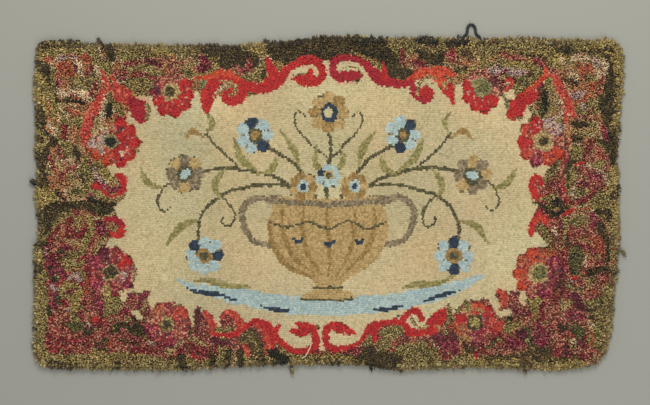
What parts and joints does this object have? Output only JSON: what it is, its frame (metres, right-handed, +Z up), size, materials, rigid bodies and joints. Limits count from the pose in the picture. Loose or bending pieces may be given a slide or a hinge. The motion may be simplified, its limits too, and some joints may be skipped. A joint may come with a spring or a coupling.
{
  "type": "hooked rug",
  "caption": "Rectangular hooked rug lying flat: low clipped pile in the field, longer shaggy pile in the border and at the rim, with a loop of yarn at one edge.",
  "frame": {"origin": "middle of the flat underside", "axes": "+X along the rug's length, +Y across its width towards the edge with the loop, +Z up out of the pile"},
  "size_m": [1.451, 0.8541, 0.0163],
  "materials": {
    "wool_pile": "matt clipped and shaggy wool pile in red, olive, cream and brown",
    "dark_yarn": "matt twisted wool yarn, nearly black",
    "cream_yarn": "matt twisted wool yarn, cream",
    "burlap": "coarse plain-woven burlap, brown"
  },
  "bodies": {
    "root": {"rug": "wool_pile", "edge_loop": "dark_yarn", "loose_thread": "cream_yarn"}
  },
  "joints": []
}
